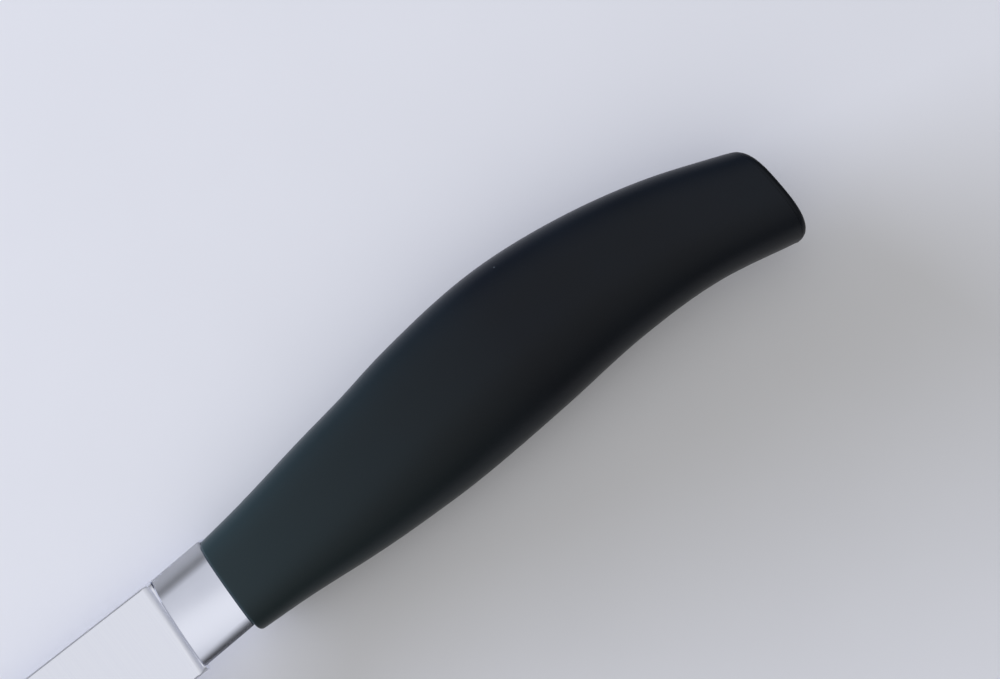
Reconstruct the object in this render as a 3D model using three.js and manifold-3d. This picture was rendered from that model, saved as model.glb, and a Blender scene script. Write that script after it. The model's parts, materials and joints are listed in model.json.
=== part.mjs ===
// Santoku kitchen knife with a soft moulded handle, lying on its right side.
//
// Millimetres, +Z up. The knife is drawn in a frame of its own: x runs from the blade to the butt, y towards
// the spine and z towards the left side. x = 0 is the shoulder where the blade meets the bolster, and y = 0
// is the middle of the tang. The whole knife is then tipped so that the side of the handle and the point of
// the blade touch the table together.

import * as THREE from "three";
import { mergeVertices, toCreasedNormals } from "three/addons/utils/BufferGeometryUtils.js";
import Module from "manifold-3d";

// Clearances
const seamGap = 0.15; // between flat faces that meet
const fitGap = 0.3; // round pieces that sit inside others

// Blade
const bladeLength = 180; // shoulder to point
const bladeDepth = 46.5; // spine to edge at the heel
const spineRise = 8.6; // spine above the middle of the tang
const spineDrop = 1.2; // how far the spine has come down where the nose begins
const noseLength = 70; // rounded stretch of the spine, from the point
const noseAngle = 64; // degrees between the nose and the edge's line, at the point
const noseReach = 28; // pull of that slant along the nose
const noseShoulder = 46; // pull of the straight spine along the nose
const pointRise = 5.5; // point above the edge at the heel
const edgeBelly = 1.2; // fullness of the edge between heel and point
const edgeSweep = 34; // pull of the fullness from the point
const edgeFlat = 70; // and from the heel
const heelSetback = 12; // shoulder to heel
const heelRadius = 8.5; // hollow between the neck and the heel
const spineThickness = 2.2;
const edgeThickness = 0.56; // at the top of the sharpened bevel, at the heel
const pointThinning = 0.16; // thickness lost from the shoulder to the point
const bevelHeight = 1.2; // sharpened bevel
const apexThickness = 0.1;
const easedEdge = 0.3; // chamfer on the spine, heel and neck

// Root of the blade, which swells to a rim in front of the bolster
const rootCove = 1.75; // length of the hollow swell
const rootTurn = 52; // degrees by which the swell has turned from the face when it reaches the rim
const rootLand = 0.4; // flat of the rim
const rootRadius = 0.6; // corners of the root, seen from the side of the knife
const rootLip = 0.85; // how far the root reaches below the bolster
const rootSink = 0.02; // start of the swell below the face of the blade
const shoulderLean = 0.064; // slope of the shoulder, forwards towards the edge

// Tang
const tangHeight = 9;
const tangEndHeight = 6.5;
const tangThickness = 2.2;
const tangLength = 100; // from the shoulder
const pinDiameter = 3;
const pinLength = 11;
const frontPinPlace = 34; // from the shoulder
const rearPinSetback = 20; // from the end of the tang

// Bolster
const bolsterLength = 11.2;
const bolsterRearRise = 9.1; // back above the middle of the tang, at the handle
const bolsterFrontDrop = 8.8; // underside below the middle of the tang, at the blade
const bolsterRearDrop = 8.15; // and at the handle
const bolsterFrontThickness = 8.3;
const bolsterRearThickness = 12.2;
const bolsterSideTurn = 10; // degrees by which its full sides have turned where its long edges begin
const bolsterBackHeight = 4.1; // rounded edge between the sides and the back
const bolsterBackKnee = 1.3; // distance from its start at which that edge would turn, were it sharp
const bolsterBackFlat = 1.1; // half of the flat along the back, at the blade
const bolsterUnderHeight = 1.9; // rounded edge between the sides and the underside
const bolsterUnderKnee = 0.8; // distance from its start at which that edge would turn, were it sharp
const bolsterUnderDepth = 1.2; // how far that edge comes in
const bolsterEase = 0.15; // its front and rear edges

// Handle
const handleLength = 113.5;
const handleLean = 0.035; // slope of its front
const lipRadius = 0.6; // rounding of its front
const gripWall = 2.2;

// Back of the handle above the middle of the tang, from the front lip to the butt
const lipBack = 8.7;
const neckBack = 9.87;
const throatBack = 12.58;
const graspBack = 14;
const palmBack = 15.82;
const humpBack = 17.68;
const loinBack = 16.12;
const waistBack = 12.42;
const buttBack = 6.78;

// Belly of the handle below the middle of the tang
const lipBelly = 9.8;
const neckBelly = 10.15;
const throatBelly = 11.45;
const graspBelly = 11.82;
const palmBelly = 11.9;
const humpBelly = 10.68;
const loinBelly = 9.15;
const waistBelly = 9.42;
const buttBelly = 12.3;

// Thickness of the handle
const lipThickness = 14.8;
const neckThickness = 16.6;
const throatThickness = 18.9;
const graspThickness = 19.8;
const palmThickness = 20.5;
const humpThickness = 20.7;
const loinThickness = 19.2;
const waistThickness = 18;
const buttThickness = 18.4;

// Squareness of its sections above and below their widest line, where 2 is an ellipse and more is boxier
const lipBackSquareness = 4.2;
const lipBellySquareness = 3.4;
const palmBackSquareness = 4.4;
const palmBellySquareness = 2.2;
const buttBackSquareness = 3.6;
const buttBellySquareness = 2.4;

// Butt cap
const capThickness = 0.9;
const capRadius = 0.7;
const buttLean = 0.05; // slope of the butt, backwards towards the belly
const buttBulge = 3.2; // depth of the rounded corners of the butt, seen from the side of the knife
const buttSquareness = 2.8; // squareness of that rounding
const buttGather = 6; // power of the share of the length by which the sections take it
const plugLength = 6;

// Fineness of the curved skins
const outerSegments = 20; // along half a section
const innerSegments = 12;
const handleSteps = 40;
const innerSteps = 20;
const roundSteps = 4; // along a quarter round
const coveSteps = 6;
const curveSteps = 36;

// Places along the knife
const rearPinPlace = tangLength - rearPinSetback;
const bolsterFront = seamGap;
const bolsterRear = bolsterFront + bolsterLength;
const handleFront = bolsterRear + seamGap;
const handleEnd = handleFront + handleLength;
const capSeam = handleEnd - capThickness;
const coreRear = capSeam - plugLength - fitGap;
const coreInset = gripWall + fitGap;

// Limits of the arithmetic
const mergeDistance = 1e-4; // corners closer than this are one corner
const nearlyStraight = 1e-4; // squared sine of a turn too slight to cut two lines

const wasm = await Module();
wasm.setup();

// Solids

function toSolid(geometry) {
  const bare = geometry.clone();
  bare.deleteAttribute("normal");
  bare.deleteAttribute("uv");
  const merged = mergeVertices(bare, mergeDistance);
  const mesh = new wasm.Mesh({
    numProp: 3,
    vertProperties: new Float32Array(merged.attributes.position.array),
    triVerts: new Uint32Array(merged.index.array),
  });
  return new wasm.Manifold(mesh);
}

function toGeometry(solid) {
  const mesh = solid.getMesh();
  return skin(Array.from(mesh.vertProperties), Array.from(mesh.triVerts));
}

function skin(coordinates, triangles) {
  const geometry = new THREE.BufferGeometry();
  geometry.setAttribute("position", new THREE.Float32BufferAttribute(coordinates, 3));
  geometry.setIndex(triangles);
  return geometry;
}

function steps(from, to, count) {
  return Array.from({ length: count + 1 }, (_, i) => from + ((to - from) * i) / count);
}

// Sections

// Half of a rounded section as [y, z] points, from the middle of its underside up the left side to the middle
// of its back.
function roundedHalf(top, bottom, halfWidth, backSquareness, bellySquareness, segments) {
  const middle = (top + bottom) / 2;
  const halfHeight = (top - bottom) / 2;
  return steps(-Math.PI / 2, Math.PI / 2, segments).map((angle) => {
    const power = 2 / (angle > 0 ? backSquareness : bellySquareness);
    const up = Math.sign(angle) * Math.abs(Math.sin(angle)) ** power;
    const out = Math.abs(Math.cos(angle)) ** power;
    return [middle + up * halfHeight, out * halfWidth];
  });
}

// A closed ring at x from half a section and its mirror image. The lean moves it backwards in proportion to
// the height. The crown pushes all but its top and bottom backwards, which rounds the corners of a face that
// ends on the ring.
function ringAt(x, half, lean, crown = 0) {
  const top = half[half.length - 1][0];
  const bottom = half[0][0];
  const place = ([y, z]) => {
    const height = Math.min(1, Math.abs(2 * y - top - bottom) / (top - bottom));
    const push = crown * (1 - height ** buttSquareness) ** (1 / buttSquareness);
    return new THREE.Vector3(x + lean * y + push, y, z);
  };
  const left = half.map(place);
  const right = half.slice(1, -1).reverse().map(([y, z]) => place([y, -z]));
  return [...left, ...right];
}

// Closed skin over rings in order of x. Each end is closed by strips from side to side.
function loft(rings) {
  const count = rings[0].length;
  const triangles = [];
  const addTriangle = (a, b, c) => {
    if (a !== b && b !== c && c !== a) triangles.push(a, b, c);
  };
  for (let ring = 0; ring + 1 < rings.length; ring += 1) {
    for (let i = 0; i < count; i += 1) {
      const here = ring * count + i;
      const next = ring * count + ((i + 1) % count);
      addTriangle(here, here + count, next);
      addTriangle(next, here + count, next + count);
    }
  }
  const last = (rings.length - 1) * count;
  for (let i = 0; i < count / 2; i += 1) {
    const across = (count - i) % count;
    const acrossNext = count - i - 1;
    addTriangle(across, i, acrossNext);
    addTriangle(i, i + 1, acrossNext);
    addTriangle(last + across, last + acrossNext, last + i);
    addTriangle(last + i, last + acrossNext, last + i + 1);
  }
  return skin(rings.flat().flatMap((point) => point.toArray()), triangles);
}

// Blade

const edgeLevel = spineRise - bladeDepth;
const point = new THREE.Vector2(-bladeLength, edgeLevel + pointRise);
const rootDrop = bolsterFrontDrop + rootLip;

function halfThickness(x, y) {
  const towardsEdge = ((spineThickness - edgeThickness) * (spineRise - y)) / bladeDepth;
  const towardsPoint = (pointThinning * -x) / bladeLength;
  return (spineThickness - towardsEdge - towardsPoint) / 2;
}

// Outline of the blade, round from the shoulder along the spine to the point, back along the edge to the
// heel and up to the neck. Sharp marks the points of the cutting edge.
function bladeOutline() {
  const noseStart = new THREE.Vector2(noseLength - bladeLength, spineRise - spineDrop);
  const alongSpine = noseStart.clone().sub(new THREE.Vector2(0, spineRise)).normalize();
  const shoulderPull = noseStart.clone().addScaledVector(alongSpine, noseShoulder);
  const nosePull = new THREE.Vector2(noseReach, 0)
    .rotateAround(new THREE.Vector2(), THREE.MathUtils.degToRad(noseAngle))
    .add(point);
  const shoulderFacing = -Math.atan(shoulderLean);
  const rootCentre = (y) => shoulderLean * y - rootRadius * Math.hypot(1, shoulderLean);
  const topCentre = spineRise - rootRadius;
  const bottomCentre = rootRadius - rootDrop;
  const topCorner = new THREE.Path()
    .absarc(rootCentre(topCentre), topCentre, rootRadius, shoulderFacing, Math.PI / 2, false);
  const spine = new THREE.Path()
    .moveTo(noseStart.x, noseStart.y)
    .bezierCurveTo(shoulderPull.x, shoulderPull.y, nosePull.x, nosePull.y, point.x, point.y);
  const lowest = edgeLevel - edgeBelly;
  const edge = new THREE.Path()
    .moveTo(point.x, point.y)
    .bezierCurveTo(
      point.x + edgeSweep, lowest,
      -heelSetback - edgeFlat, lowest,
      -heelSetback, edgeLevel,
    );
  const back = new THREE.Path()
    .moveTo(-heelSetback, edgeLevel)
    .lineTo(-heelSetback, edgeLevel + bevelHeight)
    .lineTo(-heelSetback, -rootDrop - heelRadius)
    .absarc(heelRadius - heelSetback, -rootDrop - heelRadius, heelRadius, Math.PI, Math.PI / 2, true)
    .absarc(rootCentre(bottomCentre), bottomCentre, rootRadius, -Math.PI / 2, shoulderFacing, false);
  const spinePoints = [...topCorner.getPoints(roundSteps), ...spine.getPoints(curveSteps).slice(0, -1)];
  const edgePoints = edge.getPoints(curveSteps);
  const backPoints = back.getPoints(2 * roundSteps).slice(1);
  return [
    ...spinePoints.map((place) => ({ place, sharp: false })),
    ...edgePoints.map((place) => ({ place, sharp: true })),
    ...backPoints.map((place) => ({ place, sharp: false })),
  ];
}

// The outline moved inwards: by the height of the bevel along the edge and by the chamfer elsewhere.
function insetOutline(outline) {
  const count = outline.length;
  const side = (i) => {
    const from = outline[(i + count) % count];
    const to = outline[(i + 1) % count];
    const along = to.place.clone().sub(from.place).normalize();
    const inset = from.sharp && to.sharp ? bevelHeight : easedEdge;
    return { inwards: new THREE.Vector2(-along.y, along.x), inset };
  };
  return outline.map(({ place }, i) => {
    const before = side(i - 1);
    const after = side(i);
    const between = before.inwards.dot(after.inwards);
    const share = 1 - between * between;
    if (share < nearlyStraight) return place.clone().addScaledVector(after.inwards, after.inset);
    const fromBefore = (before.inset - between * after.inset) / share;
    const fromAfter = (after.inset - between * before.inset) / share;
    return place.clone()
      .addScaledVector(before.inwards, fromBefore)
      .addScaledVector(after.inwards, fromAfter);
  });
}

// Wedge-ground plate: two flat faces, joined round the rim by the bevels and chamfers.
function bladePlate() {
  const outline = bladeOutline();
  const faceOutline = insetOutline(outline);
  const rim = outline.map(({ place, sharp }) => {
    const half = sharp ? apexThickness / 2 : halfThickness(place.x, place.y) - easedEdge;
    return [place.x, place.y, half];
  });
  const face = faceOutline.map(({ x, y }) => [x, y, halfThickness(x, y)]);
  const mirrored = ([x, y, z]) => [x, y, -z];
  const layers = [face, rim, rim.map(mirrored), face.map(mirrored)];
  const count = outline.length;
  const triangles = [];
  for (let layer = 0; layer < 3; layer += 1) {
    for (let i = 0; i < count; i += 1) {
      const here = layer * count + i;
      const next = layer * count + ((i + 1) % count);
      triangles.push(here, here + count, next + count);
      triangles.push(here, next + count, next);
    }
  }
  for (const [a, b, c] of THREE.ShapeUtils.triangulateShape(faceOutline, [])) {
    triangles.push(a, b, c);
    triangles.push(3 * count + a, 3 * count + c, 3 * count + b);
  }
  return skin(layers.flat(2), triangles);
}

// Swell at the end of the blade: a hollow curve rises from its faces to a rim. Its corners along the spine
// and the underside are rounded by the blade's chamfer and the rise together.
function bladeRoot() {
  const lastTurn = THREE.MathUtils.degToRad(rootTurn);
  const radius = rootCove / Math.sin(lastTurn);
  const ring = (x, rise) => {
    const corner = easedEdge + rise;
    const face = (y) => halfThickness(x, y) - rootSink + rise;
    const lower = steps(-Math.PI / 2, 0, roundSteps).map((angle) => {
      const y = -rootDrop + corner * (1 + Math.sin(angle));
      return [y, face(y) - corner * (1 - Math.cos(angle))];
    });
    const upper = steps(0, Math.PI / 2, roundSteps).map((angle) => {
      const y = spineRise - corner * (1 - Math.sin(angle));
      return [y, face(y) - corner * (1 - Math.cos(angle))];
    });
    return ringAt(x, [[-rootDrop, 0], ...lower, ...upper, [spineRise, 0]], shoulderLean);
  };
  const swell = steps(0, lastTurn, coveSteps).map((angle) => {
    return ring(radius * Math.sin(angle) - rootCove - rootLand, radius * (1 - Math.cos(angle)));
  });
  return loft([...swell, ring(0, radius * (1 - Math.cos(lastTurn)))]);
}

function tangBar(grow, withHoles) {
  const half = tangHeight / 2 + grow;
  const endHalf = tangEndHeight / 2 + grow;
  const endCentre = tangLength - tangEndHeight / 2;
  const outline = new THREE.Shape()
    .moveTo(-rootLand, -half)
    .lineTo(bolsterRear, -half)
    .lineTo(endCentre, -endHalf)
    .absarc(endCentre, 0, endHalf, -Math.PI / 2, Math.PI / 2, false)
    .lineTo(bolsterRear, half)
    .lineTo(-rootLand, half)
    .closePath();
  if (withHoles) {
    for (const x of [frontPinPlace, rearPinPlace]) {
      outline.holes.push(new THREE.Path().absarc(x, 0, pinDiameter / 2 + fitGap, 0, 2 * Math.PI, false));
    }
  }
  const depth = tangThickness + 2 * grow;
  const settings = { depth, bevelEnabled: false, curveSegments: 3 * roundSteps };
  return new THREE.ExtrudeGeometry(outline, settings).translate(0, 0, -depth / 2);
}

function bladeGeometry() {
  const plate = toSolid(bladePlate());
  const withRoot = plate.add(toSolid(bladeRoot()));
  return toGeometry(withRoot.add(toSolid(tangBar(0, true))));
}

// Bolster

// Half a section of the collar: a flat underside, full sides and a narrow flat back. The rounded edges
// between them carry on the turn of the sides.
function collarHalf(top, bottom, halfWidth, inset) {
  const back = top - inset;
  const under = bottom + inset;
  const sideTop = back - bolsterBackHeight;
  const sideBottom = under + bolsterUnderHeight;
  const sideSlope = Math.tan(THREE.MathUtils.degToRad(bolsterSideTurn));
  const crown = (sideSlope * (sideTop - sideBottom)) / 4;
  const side = halfWidth - inset - crown;
  const backDepth = bolsterFrontThickness / 2 - crown - bolsterBackFlat;
  const roundedEdge = (start, knee, end, depth) => {
    const curve = new THREE.QuadraticBezierCurve(
      new THREE.Vector2(start, side),
      new THREE.Vector2(start + knee, side - Math.abs(knee) * sideSlope),
      new THREE.Vector2(end, side - depth),
    );
    return curve.getPoints(2 * roundSteps).map((place) => place.toArray());
  };
  const underEdge = roundedEdge(sideBottom, -bolsterUnderKnee, under, bolsterUnderDepth).reverse();
  const flank = steps(-1, 1, 2 * roundSteps).slice(1, -1).map((share) => [
    THREE.MathUtils.mapLinear(share, -1, 1, sideBottom, sideTop),
    side + crown * (1 - share * share),
  ]);
  const backEdge = roundedEdge(sideTop, bolsterBackKnee, back, backDepth);
  return [[under, 0], ...underEdge, ...flank, ...backEdge, [back, 0]];
}

function bolsterGeometry() {
  const ring = (x, inset) => {
    const share = (x - bolsterFront) / bolsterLength;
    const top = THREE.MathUtils.lerp(spineRise, bolsterRearRise, share);
    const bottom = -THREE.MathUtils.lerp(bolsterFrontDrop, bolsterRearDrop, share);
    const thickness = THREE.MathUtils.lerp(bolsterFrontThickness, bolsterRearThickness, share);
    const lean = THREE.MathUtils.lerp(shoulderLean, handleLean, share);
    return ringAt(x, collarHalf(top, bottom, thickness / 2, inset), lean);
  };
  const collar = loft([
    ring(bolsterFront, bolsterEase),
    ring(bolsterFront + bolsterEase, 0),
    ring(bolsterRear - bolsterEase, 0),
    ring(bolsterRear, bolsterEase),
  ]);
  return toGeometry(toSolid(collar).subtract(toSolid(tangBar(fitGap, false))));
}

// Handle

// Sections from the front to the butt, each at its share of the length.
const palmShare = 0.394;
const handleSections = [
  { share: 0, back: lipBack, belly: lipBelly, thickness: lipThickness },
  { share: 0.08, back: neckBack, belly: neckBelly, thickness: neckThickness },
  { share: 0.222, back: throatBack, belly: throatBelly, thickness: throatThickness },
  { share: 0.306, back: graspBack, belly: graspBelly, thickness: graspThickness },
  { share: palmShare, back: palmBack, belly: palmBelly, thickness: palmThickness },
  { share: 0.575, back: humpBack, belly: humpBelly, thickness: humpThickness },
  { share: 0.727, back: loinBack, belly: loinBelly, thickness: loinThickness },
  { share: 0.868, back: waistBack, belly: waistBelly, thickness: waistThickness },
  { share: 1, back: buttBack, belly: buttBelly, thickness: buttThickness },
];
const sectionShares = handleSections.map(({ share }) => share);
const sectionSizes = handleSections.flatMap(({ back, belly, thickness }) => [back, -belly, thickness / 2]);
const sectionLine = new THREE.CubicInterpolant(sectionShares, sectionSizes, 3);

const squarenesses = [
  lipBackSquareness, lipBellySquareness,
  palmBackSquareness, palmBellySquareness,
  buttBackSquareness, buttBellySquareness,
];
const squarenessLine = new THREE.CubicInterpolant([0, palmShare, 1], squarenesses, 2);

function handleShare(x) {
  return (x - handleFront) / handleLength;
}

// Ring of the handle's skin at x, moved inwards by the inset and crowned towards the butt. It leans one way
// at the front and the other way at the butt, and takes its back and belly from where the lean puts them.
function handleRing(x, inset, segments, crowned) {
  const share = THREE.MathUtils.clamp(handleShare(x), 0, 1);
  const lean = THREE.MathUtils.lerp(handleLean, -buttLean, share);
  const [straightTop, straightBottom, halfWidth] = sectionLine.evaluate(share);
  const [top] = sectionLine.evaluate(handleShare(x + lean * straightTop));
  const [, bottom] = sectionLine.evaluate(handleShare(x + lean * straightBottom));
  const [back, belly] = squarenessLine.evaluate(share);
  const half = roundedHalf(top - inset, bottom + inset, halfWidth - inset, back, belly, segments);
  return ringAt(x, half, lean, crowned ? buttBulge * share ** buttGather : 0);
}

function gripGeometry() {
  const lip = steps(0, Math.PI / 2, roundSteps).map((angle) => {
    const x = handleFront + lipRadius * (1 - Math.cos(angle));
    return handleRing(x, lipRadius * (1 - Math.sin(angle)), outerSegments, true);
  });
  const body = steps(handleFront + lipRadius, capSeam - seamGap, handleSteps).slice(1);
  const outside = loft([...lip, ...body.map((x) => handleRing(x, 0, outerSegments, true))]);
  const bore = steps(handleFront - lipRadius, handleEnd + buttBulge, innerSteps);
  const inside = loft(bore.map((x) => handleRing(x, gripWall, innerSegments, false)));
  return toGeometry(toSolid(outside).subtract(toSolid(inside)));
}

function pinRod(x, grow) {
  const rod = new THREE.CylinderGeometry(
    pinDiameter / 2 + grow, pinDiameter / 2 + grow, pinLength + 2 * grow, 6 * roundSteps,
  );
  return rod.rotateX(Math.PI / 2).translate(x, 0, 0);
}

// One half of the stiff core, closed round the tang from one side; side is 1 on the left and -1 on the right.
function coreGeometry(side) {
  const stations = steps(handleFront, coreRear, innerSteps);
  const whole = toSolid(loft(stations.map((x) => handleRing(x, coreInset, innerSegments, false))));
  const room = 2 * handleLength;
  const otherHalf = new THREE.BoxGeometry(room, room, room)
    .translate(handleFront + handleLength / 2, 0, side * (seamGap / 2 - room / 2));
  let half = whole.subtract(toSolid(otherHalf)).subtract(toSolid(tangBar(fitGap, false)));
  for (const x of [frontPinPlace, rearPinPlace]) {
    half = half.subtract(toSolid(pinRod(x, fitGap)));
  }
  return toGeometry(half);
}

// Plug that closes the butt: a crowned plate with a spigot inside the grip.
function capGeometry() {
  const rim = steps(0, Math.PI / 2, roundSteps).map((angle) => {
    const x = handleEnd - capRadius * (1 - Math.sin(angle));
    return handleRing(x, capRadius * (1 - Math.cos(angle)), outerSegments, true);
  });
  const plate = loft([handleRing(capSeam, 0, outerSegments, true), ...rim]);
  const spigot = loft([
    handleRing(capSeam - plugLength, coreInset, innerSegments, false),
    handleRing(capSeam + capThickness / 2, coreInset, innerSegments, true),
  ]);
  return toGeometry(toSolid(plate).add(toSolid(spigot)));
}

// Materials

function steel(color, roughness) {
  return new THREE.MeshStandardMaterial({ color, roughness, metalness: 1 });
}

function plastic(color, roughness) {
  return new THREE.MeshStandardMaterial({ color, roughness, metalness: 0 });
}

function piece(name, geometry, material) {
  const mesh = new THREE.Mesh(toCreasedNormals(geometry, Math.PI / 6), material);
  mesh.name = name;
  return mesh;
}

// Assembly

const bolsterSteel = 0xc8cad2;
const coreGrey = 0x3a3d40;
const blade = piece("blade", bladeGeometry(), steel(0xd6d8de, 0.25));
const grip = piece("grip", gripGeometry(), plastic(0x22282b, 0.6));

const knife = new THREE.Group();
knife.add(
  blade,
  piece("bolster", bolsterGeometry(), steel(bolsterSteel, 0.15)),
  piece("core_left", coreGeometry(1), plastic(coreGrey, 0.5)),
  piece("core_right", coreGeometry(-1), plastic(coreGrey, 0.5)),
  piece("front_pin", pinRod(frontPinPlace, 0), steel(bolsterSteel, 0.35)),
  piece("rear_pin", pinRod(rearPinPlace, 0), steel(bolsterSteel, 0.35)),
  grip,
  piece("butt_cap", capGeometry(), plastic(0x1d2226, 0.55)),
);

// Slope of the table under the knife: the line below the blade and the handle that touches both.
function restSlope() {
  const corners = (mesh) => {
    const { position } = mesh.geometry.attributes;
    const last = position.count - 1;
    return steps(0, last, last).map((i) => ({ x: position.getX(i), z: position.getZ(i) }));
  };
  const bladeCorners = corners(blade).filter(({ x }) => x < -bladeLength / 2);
  const gripCorners = corners(grip).filter(({ z }) => z < 0);
  const slopes = bladeCorners.map((low) => {
    return Math.min(...gripCorners.map((high) => (high.z - low.z) / (high.x - low.x)));
  });
  return Math.max(...slopes);
}

knife.rotation.y = Math.atan(restSlope());
knife.updateMatrixWorld(true);
const box = new THREE.Box3().setFromObject(knife, true);
const middle = box.getCenter(new THREE.Vector3());
knife.position.set(-middle.x, -middle.y, -box.min.z);

const santokuKnife = new THREE.Group();
santokuKnife.add(knife);

export default santokuKnife;
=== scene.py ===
# %% [markdown]
# # A santoku knife, dressed over its solid model
# The solid model already has every piece at its real size and place. This lesson gives each piece its finish:
# ground steel, polished steel, soft moulded rubber. It also sets up the camera, the light and the table. All
# lengths are metres in the solid model's frame: +X runs from the point to the butt, +Y towards the spine, and
# the table is at Z = 0.

# %% Load the solid model
import json
import math

import bpy
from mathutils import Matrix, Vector


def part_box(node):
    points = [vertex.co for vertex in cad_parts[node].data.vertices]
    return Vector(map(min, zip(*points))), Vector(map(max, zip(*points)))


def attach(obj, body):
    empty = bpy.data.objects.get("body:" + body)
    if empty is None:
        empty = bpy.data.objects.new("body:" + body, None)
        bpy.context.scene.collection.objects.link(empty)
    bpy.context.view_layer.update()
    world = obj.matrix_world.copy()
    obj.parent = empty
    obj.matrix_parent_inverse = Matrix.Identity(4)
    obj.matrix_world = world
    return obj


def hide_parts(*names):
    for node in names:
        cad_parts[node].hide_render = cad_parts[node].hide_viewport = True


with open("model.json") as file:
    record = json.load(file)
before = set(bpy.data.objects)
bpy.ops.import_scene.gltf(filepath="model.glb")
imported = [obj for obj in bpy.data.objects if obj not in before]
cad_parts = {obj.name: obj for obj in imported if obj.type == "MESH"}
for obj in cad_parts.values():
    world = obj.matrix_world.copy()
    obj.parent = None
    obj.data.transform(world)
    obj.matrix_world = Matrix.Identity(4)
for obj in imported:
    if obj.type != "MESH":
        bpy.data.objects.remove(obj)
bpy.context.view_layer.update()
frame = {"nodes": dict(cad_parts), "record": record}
mm = 0.001
print("nodes:", sorted(frame["nodes"]))

# %% [markdown]
# ## How the knife lies
# The knife rests on the side of its handle and on its point, so its flat sides lean a little. The record
# gives the direction that each flat side of the blade faces, and half the difference of the two is the
# direction square to the knife's middle plane. Measuring it here keeps it right if the solid model changes.

# %% Measure the lean
mounts = {mount["name"]: mount for mount in frame["record"]["mounts"]}
left_face = Vector(mounts["blade_left_face"]["axis"])
right_face = Vector(mounts["blade_right_face"]["axis"])
knife_up = (left_face - right_face).normalized()
lean = math.atan2(-knife_up.x, knife_up.z)
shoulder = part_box("bolster")[0].x
print("the knife leans by", round(math.degrees(lean), 2), "degrees")
print("its bolster begins at X =", round(shoulder / mm, 1), "mm")

# %% [markdown]
# ## Camera
# The photograph looks straight down on the handle from about half a metre, turned so that the knife runs up
# to the right. The picture is 1000 pixels wide and shows 5.8 pixels to the millimetre at half the height of
# the handle, so the lens follows from the distance.

# %% Camera over the handle
picture_width = 1000
pixels_per_mm = 5.8
sensor_width = 36
view_turn = math.radians(-37.2)
view_centre = Vector((99.7 * mm, 15.8 * mm, 11 * mm))
view_distance = 500 * mm

camera_data = bpy.data.cameras.new("camera")
camera_data.sensor_width = sensor_width
camera_data.lens = sensor_width * view_distance / (picture_width / pixels_per_mm * mm)
camera = bpy.data.objects.new("camera", camera_data)
camera.location = view_centre + Vector((0, 0, view_distance))
camera.rotation_euler = (0, 0, view_turn)
bpy.context.scene.collection.objects.link(camera)
bpy.context.scene.camera = camera
bpy.context.scene.view_settings.view_transform = "Standard"
print("lens", round(camera_data.lens, 1), "mm")

# %% [markdown]
# ## Colours and nodes
# Finishes are written as sRGB hex values, as a paint program shows them, and one function turns them to the
# linear values that shaders use. A second small function adds a shader node: it sets the node's properties,
# fills its input sockets with values, or links them where the value is another node's output. A third starts
# an empty material.

# %% Helpers for shaders
def linear(hex_colour):
    """Linear RGBA of an sRGB colour such as '#1c2226'."""
    parts = [int(hex_colour[i:i + 2], 16) / 255 for i in (1, 3, 5)]
    return [part / 12.92 if part <= 0.04045 else ((part + 0.055) / 1.055) ** 2.4 for part in parts] + [1]


def add_node(tree, kind, inputs=None, **settings):
    """A new node of a kind, with its settings, and its inputs filled or linked."""
    node = tree.nodes.new(kind)
    for name, value in settings.items():
        setattr(node, name, value)
    for name, value in (inputs or {}).items():
        if isinstance(value, bpy.types.NodeSocket):
            tree.links.new(value, node.inputs[name])
        else:
            node.inputs[name].default_value = value
    return node


def new_material(name):
    """An empty material, the tree that holds its nodes, and its output node."""
    material = bpy.data.materials.new(name)
    material.use_nodes = True
    material.node_tree.nodes.clear()
    output = add_node(material.node_tree, "ShaderNodeOutputMaterial")
    return material, material.node_tree, output


print("sRGB mid grey is", round(linear("#808080")[0], 3), "in linear values")

# %% [markdown]
# ## Window
# The photograph has soft daylight from the left of the picture, so low that the handle's shadow spreads far
# to the right. One broad, low panel stands in for the window. A real window is curtained and leaves no hard
# white patch on the steel, so the panel lights the scene but is left out of mirror images. It stands far off,
# because a near lamp would make the table glare on its side.

# %% Window panel
window_side = Vector((-0.723, 0.691, 0))
window_distance = 2100 * mm
window_height = 370 * mm
window_width = 2260 * mm
window_rise = 440 * mm
window_watts = 138
daylight = "#e1e8ff"

window_data = bpy.data.lights.new("window", "AREA")
window_data.shape = "RECTANGLE"
window_data.size = window_width
window_data.size_y = window_rise
window_data.energy = window_watts
window_data.color = linear(daylight)[:3]
window = bpy.data.objects.new("window", window_data)
window.location = Vector((view_centre.x, view_centre.y, window_height)) + window_side * window_distance
window.rotation_euler = (view_centre - window.location).to_track_quat("-Z", "Y").to_euler()
window.visible_glossy = False
bpy.context.scene.collection.objects.link(window)
print("window at", [round(part, 3) for part in window.location])

# %% [markdown]
# ## Room
# Polished steel is only as good as what it mirrors, so the world is a plain room and not one flat grey. It
# starts dark, as the wall on the edge side is, and each patch is laid over the ones before: it begins at one
# angle from its side of the room and is full at a smaller one. Angles are written as cosines, which is what
# the product of two directions gives.

# %% Walls and ceiling
darkest_wall = "#1e1d1c"
room_patches = [
    # side of the room, cosines where the patch begins and where it is full, colour
    ((0, 1, 0), -0.5, 0.5, "#6c6d6d"),  # wall past the spine
    ((-1, 0.1, 0), 0.5, 0.98, "#a4a6ae"),  # wall past the blade
    ((-0.35, 0.94, 0), 0.92, 0.995, "#b2b3b5"),  # wall beside the window
    ((0.68, -0.68, 0.27), 0.8, 0.95, "#8f9092"),  # wall past the edge and the butt
    ((-0.3, -0.12, 1), 0.2, 1, "#dedfe2"),  # ceiling
    ((0, 0, 1), 0.92, 0.995, "#f6f7fa"),  # ceiling right above
    ((-0.53, -0.11, 0.83), 0.96, 0.999, "#ffffff"),  # skylight, high up past the blade
]

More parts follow.
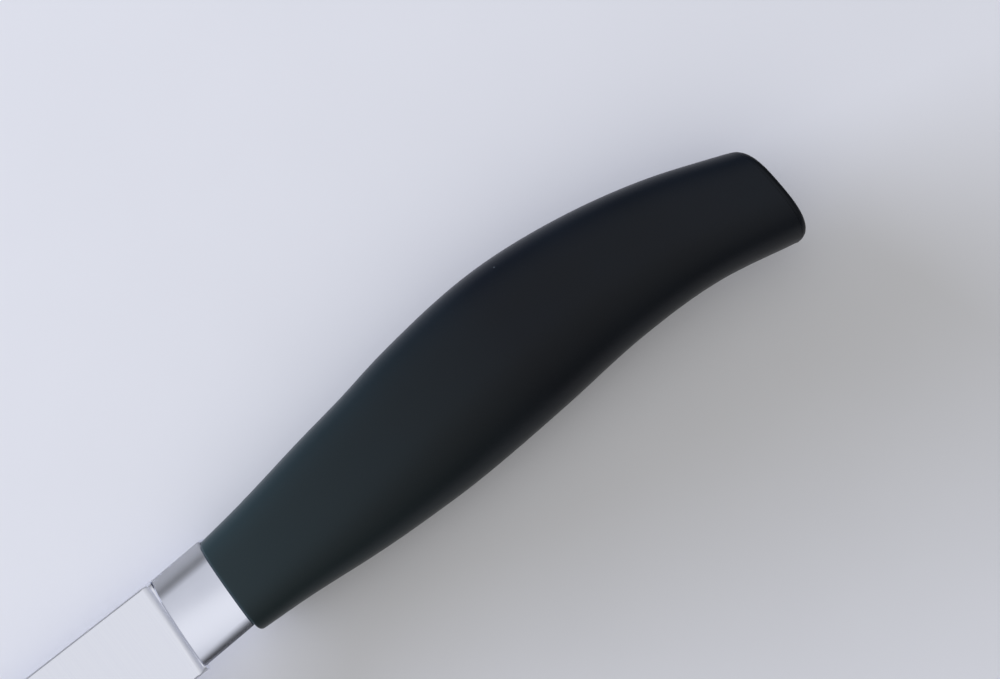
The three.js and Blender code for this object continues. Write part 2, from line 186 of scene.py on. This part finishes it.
world = bpy.data.worlds.new("room")
world.use_nodes = True
room = world.node_tree
room.nodes.clear()
direction = add_node(room, "ShaderNodeTexCoord").outputs["Generated"]
colour = linear(darkest_wall)
for side, begins, full, patch_colour in room_patches:
    cosine = add_node(room, "ShaderNodeVectorMath", {
        0: direction, 1: Vector(side).normalized(),
    }, operation="DOT_PRODUCT")
    share = add_node(room, "ShaderNodeMapRange", {
        "Value": cosine.outputs["Value"], "From Min": begins, "From Max": full,
    }, interpolation_type="SMOOTHSTEP")
    mixed = add_node(room, "ShaderNodeMix", {
        "Factor": share.outputs["Result"], "A": colour, "B": linear(patch_colour),
    }, data_type="RGBA")
    colour = mixed.outputs["Result"]
background = add_node(room, "ShaderNodeBackground", {"Color": colour})
add_node(room, "ShaderNodeOutputWorld", {"Surface": background.outputs["Background"]})
bpy.context.scene.world = world
print("room of", len(room_patches), "patches")

# %% [markdown]
# ## Table
# A plain pale table, far larger than the knife. It is a matt laminate, with a hardly visible mottle.

# %% Pale matt table
table_width = 6
mottle_size = 25 * mm

bpy.ops.mesh.primitive_plane_add(size=table_width)
table = bpy.context.active_object
table.name = "table"
pale_laminate, tree, output = new_material("matt_pale_laminate")
place = add_node(tree, "ShaderNodeTexCoord").outputs["Object"]
mottle = add_node(tree, "ShaderNodeTexNoise", {"Vector": place, "Scale": 1 / mottle_size, "Detail": 2})
tint = add_node(tree, "ShaderNodeMix", {
    "Factor": mottle.outputs["Fac"], "A": linear("#e7e6e6"), "B": linear("#eae9e9"),
}, data_type="RGBA")
shader = add_node(tree, "ShaderNodeBsdfPrincipled", {
    "Base Color": tint.outputs["Result"], "Roughness": 0.6,
})
tree.links.new(shader.outputs["BSDF"], output.inputs["Surface"])
table.data.materials.append(pale_laminate)
print("table of", pale_laminate.name, table_width, "m wide")

# %% [markdown]
# ## Satin ground stainless steel
# The flat sides of the blade are ground across their height on a belt, which leaves fine lines from spine to
# edge. Each line catches the light a little differently, so the steel looks satin and not mirror-like. The
# lines are stretched noise: very short along the blade, long across it. Real grit leaves lines a few
# hundredths of a millimetre wide; they are drawn a quarter of a millimetre wide so that the picture can show
# them. The honed bevel has finer, smoother lines, so it shines more.

# %% Blade finishes
line_width = 0.25 * mm
line_length = 40 * mm


def ground_steel(name, low_roughness, high_roughness, line_depth):
    """Stainless steel with fine lines across the blade."""
    material, tree, output = new_material(name)
    place = add_node(tree, "ShaderNodeTexCoord").outputs["Object"]
    stretch = add_node(tree, "ShaderNodeMapping", {
        "Vector": place, "Scale": (1 / line_width, 1 / line_length, 1 / line_length),
    })
    lines = add_node(tree, "ShaderNodeTexNoise", {
        "Vector": stretch.outputs["Vector"], "Scale": 1, "Detail": 4,
    })
    roughness = add_node(tree, "ShaderNodeMapRange", {
        "Value": lines.outputs["Fac"], "To Min": low_roughness, "To Max": high_roughness,
    })
    tint = add_node(tree, "ShaderNodeMix", {
        "Factor": lines.outputs["Fac"], "A": linear("#e6e8f2"), "B": linear("#f0f2fa"),
    }, data_type="RGBA")
    relief = add_node(tree, "ShaderNodeBump", {
        "Height": lines.outputs["Fac"], "Distance": line_depth, "Strength": 1,
    })
    shader = add_node(tree, "ShaderNodeBsdfPrincipled", {
        "Base Color": tint.outputs["Result"],
        "Metallic": 1,
        "Roughness": roughness.outputs["Result"],
        "Normal": relief.outputs["Normal"],
    })
    tree.links.new(shader.outputs["BSDF"], output.inputs["Surface"])
    return material


satin_steel = ground_steel(
    "satin_ground_stainless", low_roughness=0.24, high_roughness=0.36, line_depth=0.002 * mm,
)
honed_steel = ground_steel(
    "honed_stainless_edge", low_roughness=0.12, high_roughness=0.2, line_depth=0.001 * mm,
)
print("blade finishes:", satin_steel.name, honed_steel.name)

# %% [markdown]
# ## Polished stainless steel
# The bolster is buffed until it mirrors soft shapes. What gives it away as metal and not plastic is the sharp
# change from bright to dark at its slope, and a faint cloud of wiping marks that makes the mirror uneven.

# %% Bolster finish
cloud_size = 5 * mm

polished_steel, tree, output = new_material("polished_stainless")
place = add_node(tree, "ShaderNodeTexCoord").outputs["Object"]
clouds = add_node(tree, "ShaderNodeTexNoise", {"Vector": place, "Scale": 1 / cloud_size, "Detail": 5})
roughness = add_node(tree, "ShaderNodeMapRange", {
    "Value": clouds.outputs["Fac"], "To Min": 0.12, "To Max": 0.24,
})
tint = add_node(tree, "ShaderNodeMix", {
    "Factor": clouds.outputs["Fac"], "A": linear("#dcdfec"), "B": linear("#e5e8f4"),
}, data_type="RGBA")
shader = add_node(tree, "ShaderNodeBsdfPrincipled", {
    "Base Color": tint.outputs["Result"], "Metallic": 1, "Roughness": roughness.outputs["Result"],
})
tree.links.new(shader.outputs["BSDF"], output.inputs["Surface"])
print("bolster finish:", polished_steel.name)

# %% [markdown]
# ## Soft moulded rubber
# The grip is a near-black elastomer with a fine moulded grain. It has hardly any gloss: light that grazes it
# gives a soft pale rim, and the rest stays dark. The grain is a shallow bump, the tone varies slightly where
# the skin has been handled, and a few specks of dust sit on it. The front of the grip is painted a paler
# grey-green that fades out along the handle: a painted sheen for the light that the front catches. The cap
# is a hard plastic of nearly the same colour, with a finer grain, so it takes the same recipe.

# %% Grip and cap finishes
grain_size = 0.22 * mm
handled_size = 14 * mm
dust_spacing = 9 * mm
dust_radius = 0.16 * mm
dust_cover = 0.6
# Painted sheen: the front of the grip is painted paler grey-green, and this fades out over this length.
painted_sheen_length = 66 * mm
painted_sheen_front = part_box("grip")[0].x


def moulded_skin(name, dark, pale, low_roughness, high_roughness, grain_depth):
    """Near-black moulded skin: fine grain, handled patches, a painted sheen at the front and sparse dust."""
    material, tree, output = new_material(name)
    place = add_node(tree, "ShaderNodeTexCoord").outputs["Object"]
    grain = add_node(tree, "ShaderNodeTexNoise", {"Vector": place, "Scale": 1 / grain_size, "Detail": 2})
    handled = add_node(tree, "ShaderNodeTexNoise", {"Vector": place, "Scale": 1 / handled_size, "Detail": 3})
    skin_tint = add_node(tree, "ShaderNodeMix", {
        "Factor": handled.outputs["Fac"], "A": linear(dark), "B": linear(pale),
    }, data_type="RGBA")
    # Painted sheen: towards the front of the grip, the tint is mixed into a paler grey-green.
    along = add_node(tree, "ShaderNodeSeparateXYZ", {"Vector": place})
    painted_sheen_share = add_node(tree, "ShaderNodeMapRange", {
        "Value": along.outputs["X"],
        "From Min": painted_sheen_front, "From Max": painted_sheen_front + painted_sheen_length,
        "To Min": 1, "To Max": 0,
    })
    painted_sheen_tint = add_node(tree, "ShaderNodeMix", {
        "Factor": painted_sheen_share.outputs["Result"], "A": skin_tint.outputs["Result"], "B": linear("#1f2a2c"),
    }, data_type="RGBA")
    specks = add_node(tree, "ShaderNodeTexVoronoi", {"Vector": place, "Scale": 1 / dust_spacing})
    dust = add_node(tree, "ShaderNodeMapRange", {
        "Value": specks.outputs["Distance"],
        "From Min": dust_radius / 2 / dust_spacing, "From Max": dust_radius / dust_spacing,
        "To Min": dust_cover, "To Max": 0,
    })
    tint = add_node(tree, "ShaderNodeMix", {
        "Factor": dust.outputs["Result"], "A": painted_sheen_tint.outputs["Result"], "B": linear("#6d7478"),
    }, data_type="RGBA")
    roughness = add_node(tree, "ShaderNodeMapRange", {
        "Value": handled.outputs["Fac"], "To Min": low_roughness, "To Max": high_roughness,
    })
    relief = add_node(tree, "ShaderNodeBump", {
        "Height": grain.outputs["Fac"], "Distance": grain_depth, "Strength": 1,
    })
    shader = add_node(tree, "ShaderNodeBsdfPrincipled", {
        "Base Color": tint.outputs["Result"],
        "Roughness": roughness.outputs["Result"],
        "IOR": 1.45,
        "Specular IOR Level": 0.24,
        "Normal": relief.outputs["Normal"],
    })
    tree.links.new(shader.outputs["BSDF"], output.inputs["Surface"])
    return material


soft_rubber = moulded_skin(
    "matt_moulded_elastomer", dark="#080c12", pale="#0d131a",
    low_roughness=0.36, high_roughness=0.46, grain_depth=0.02 * mm,
)
cap_plastic = moulded_skin(
    "matt_moulded_cap_plastic", dark="#070b11", pale="#0c1219",
    low_roughness=0.35, high_roughness=0.44, grain_depth=0.015 * mm,
)
print("handle finishes:", soft_rubber.name, cap_plastic.name)

# %% [markdown]
# ## Inside the handle
# The core halves and the pins never show, but they are real pieces and are finished as such: a grey moulded
# plastic with faint flow marks along the handle, and drawn steel with lines along its length.

# %% Core and pin finishes
flow_width = 1.5 * mm
flow_length = 20 * mm
draw_width = 0.15 * mm
draw_length = 8 * mm

core_plastic, tree, output = new_material("moulded_core_plastic")
place = add_node(tree, "ShaderNodeTexCoord").outputs["Object"]
stretch = add_node(tree, "ShaderNodeMapping", {
    "Vector": place, "Scale": (1 / flow_length, 1 / flow_width, 1 / flow_width),
})
flow = add_node(tree, "ShaderNodeTexNoise", {"Vector": stretch.outputs["Vector"], "Scale": 1, "Detail": 3})
tint = add_node(tree, "ShaderNodeMix", {
    "Factor": flow.outputs["Fac"], "A": linear("#35383b"), "B": linear("#43464a"),
}, data_type="RGBA")
shader = add_node(tree, "ShaderNodeBsdfPrincipled", {
    "Base Color": tint.outputs["Result"], "Roughness": 0.5,
})
tree.links.new(shader.outputs["BSDF"], output.inputs["Surface"])

drawn_steel, tree, output = new_material("drawn_steel")
place = add_node(tree, "ShaderNodeTexCoord").outputs["Object"]
stretch = add_node(tree, "ShaderNodeMapping", {
    "Vector": place, "Scale": (1 / draw_width, 1 / draw_width, 1 / draw_length),
})
lines = add_node(tree, "ShaderNodeTexNoise", {"Vector": stretch.outputs["Vector"], "Scale": 1, "Detail": 3})
roughness = add_node(tree, "ShaderNodeMapRange", {
    "Value": lines.outputs["Fac"], "To Min": 0.25, "To Max": 0.45,
})
shader = add_node(tree, "ShaderNodeBsdfPrincipled", {
    "Base Color": linear("#c8cacd"), "Metallic": 1, "Roughness": roughness.outputs["Result"],
})
tree.links.new(shader.outputs["BSDF"], output.inputs["Surface"])

for name in ("core_left", "core_right", "front_pin", "rear_pin"):
    node = frame["nodes"][name]
    node.data.materials.clear()
    node.data.materials.append(drawn_steel if name.endswith("pin") else core_plastic)
    print(name, "is", node.data.materials[0].name)

# %% [markdown]
# ## Working copies of the solids
# A solid comes as loose flat triangles. For a smooth skin, a copy of it is merged into one mesh, and
# triangles that lie together become four-sided faces, which smooth far better. The solid itself stays as it
# is: the finished copy takes its place in the picture.

# %% Copy a solid and let the copy stand in for it
merge_distance = 0.0005 * mm
quad_bend = math.radians(25)
quad_skew = math.radians(60)


def working_copy(node, name, material):
    """A merged, four-sided copy of a CAD node, selected and in object mode."""
    piece = bpy.data.objects.new(name, frame["nodes"][node].data.copy())
    bpy.context.scene.collection.objects.link(piece)
    bpy.ops.object.select_all(action="DESELECT")
    piece.select_set(True)
    bpy.context.view_layer.objects.active = piece
    piece.data.materials.clear()
    piece.data.materials.append(material)
    bpy.ops.mesh.customdata_custom_splitnormals_clear()
    bpy.ops.object.mode_set(mode="EDIT")
    bpy.ops.mesh.select_all(action="SELECT")
    bpy.ops.mesh.remove_doubles(threshold=merge_distance)
    bpy.ops.mesh.tris_convert_to_quads(face_threshold=quad_bend, shape_threshold=quad_skew)
    bpy.ops.object.mode_set(mode="OBJECT")
    return piece


def stand_in(piece, node):
    """The finished piece rides on the knife and takes the place of its CAD node."""
    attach(piece, "root")
    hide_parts(node)
    print(piece.name, len(piece.data.polygons), "faces")

# %% [markdown]
# ## Blade
# The blade is two flat sides that meet in a honed bevel. Only its shading needs care: the bevel turns by
# about ten degrees, too little for an angle limit to find, so its outline and the outline of the flat sides
# are marked sharp by hand. The swelled root between them stays smooth.

# %% Blade with its honed edge
heel_setback = 12 * mm
flat_turn = math.radians(0.5)
honed_turn = math.radians(20)
blade_sharp_turn = math.radians(40)


def select_faces(piece, wanted):
    """Selects the faces that the test wants, and leaves the piece in edit mode."""
    bpy.ops.object.mode_set(mode="EDIT")
    bpy.ops.mesh.select_mode(type="FACE")
    bpy.ops.mesh.select_all(action="DESELECT")
    bpy.ops.object.mode_set(mode="OBJECT")
    for face in piece.data.polygons:
        face.select = wanted(face)
    bpy.ops.object.mode_set(mode="EDIT")


def turn_from_side(face):
    """Angle between a face and the flat side of the blade that it is nearest to."""
    return min(face.normal.angle(left_face), face.normal.angle(right_face))


def is_flat(face):
    """Whether a face lies in a flat side of the blade."""
    return turn_from_side(face) <= flat_turn


def is_honed(face):
    """Whether a face belongs to the honed bevel, which ends at the heel."""
    return flat_turn < turn_from_side(face) < honed_turn and face.center.x < shoulder - heel_setback


blade = working_copy("blade", "ground_blade", satin_steel)
blade.data.materials.append(honed_steel)
select_faces(blade, is_honed)
blade.active_material_index = 1
bpy.ops.object.material_slot_assign()
bpy.ops.mesh.region_to_loop()
bpy.ops.mesh.mark_sharp()
select_faces(blade, is_flat)
bpy.ops.mesh.region_to_loop()
bpy.ops.mesh.mark_sharp()
bpy.ops.object.mode_set(mode="OBJECT")
bpy.ops.object.shade_smooth_by_angle(angle=blade_sharp_turn, keep_sharp_edges=True)
stand_in(blade, "blade")

# %% [markdown]
# ## Bolster
# A collar with slightly full sides, a rounded slope towards the spine and a flat underside. The solid model
# keeps a clearance of 0.15 mm between it and its neighbours, but the real joints are pressed shut and show
# no gap. So the end faces of the copy are moved out until the clearance is nearly closed.

# %% Bolster with closed joints
clearance = 0.15 * mm
closed_share = 0.9
end_turn = math.radians(12)
bolster_sharp_turn = math.radians(15)
knife_along = Vector((math.cos(lean), 0, math.sin(lean)))

bolster = working_copy("bolster", "polished_bolster", polished_steel)
for outwards in (knife_along, -knife_along):
    select_faces(bolster, lambda face: face.normal.angle(outwards) < end_turn)
    bpy.ops.transform.translate(value=outwards * clearance * closed_share)
    bpy.ops.object.mode_set(mode="OBJECT")
bpy.ops.object.shade_smooth_by_angle(angle=bolster_sharp_turn)
stand_in(bolster, "bolster")

# %% [markdown]
# ## Grip and butt cap
# These are moulded, so their skins flow without a flat anywhere. A Subdivision Surface rounds the faceted
# copy. Edges that are truly sharp, at the ends, are creased first so that they stay where the solid has them.
# The grip's rear edge turns by only about twenty degrees in places, so its limit is lower than the cap's. The
# cap is glued in, so it is slid up to the grip until the clearance between them is nearly closed.

# %% Moulded skins
grip_sharp_turn = math.radians(18)
cap_sharp_turn = math.radians(40)
skin_levels = 2


def smooth_skin(piece, sharp_turn):
    """Rounds a faceted copy by subdivision and keeps the edges that turn by more than the limit."""
    bpy.ops.object.mode_set(mode="EDIT")
    bpy.ops.mesh.select_mode(type="EDGE")
    bpy.ops.mesh.select_all(action="DESELECT")
    bpy.ops.mesh.edges_select_sharp(sharpness=sharp_turn)
    bpy.ops.transform.edge_crease(value=1)
    bpy.ops.object.mode_set(mode="OBJECT")
    smoother = piece.modifiers.new("smoother", "SUBSURF")
    smoother.levels = skin_levels
    smoother.render_levels = skin_levels
    bpy.ops.object.modifier_apply(modifier=smoother.name)
    bpy.ops.object.shade_smooth_by_angle(angle=sharp_turn)


grip = working_copy("grip", "moulded_grip", soft_rubber)
smooth_skin(grip, grip_sharp_turn)
stand_in(grip, "grip")

butt_cap = working_copy("butt_cap", "moulded_butt_cap", cap_plastic)
bpy.ops.object.mode_set(mode="EDIT")
bpy.ops.mesh.select_all(action="SELECT")
bpy.ops.transform.translate(value=-knife_along * clearance * closed_share)
bpy.ops.object.mode_set(mode="OBJECT")
smooth_skin(butt_cap, cap_sharp_turn)
stand_in(butt_cap, "butt_cap")
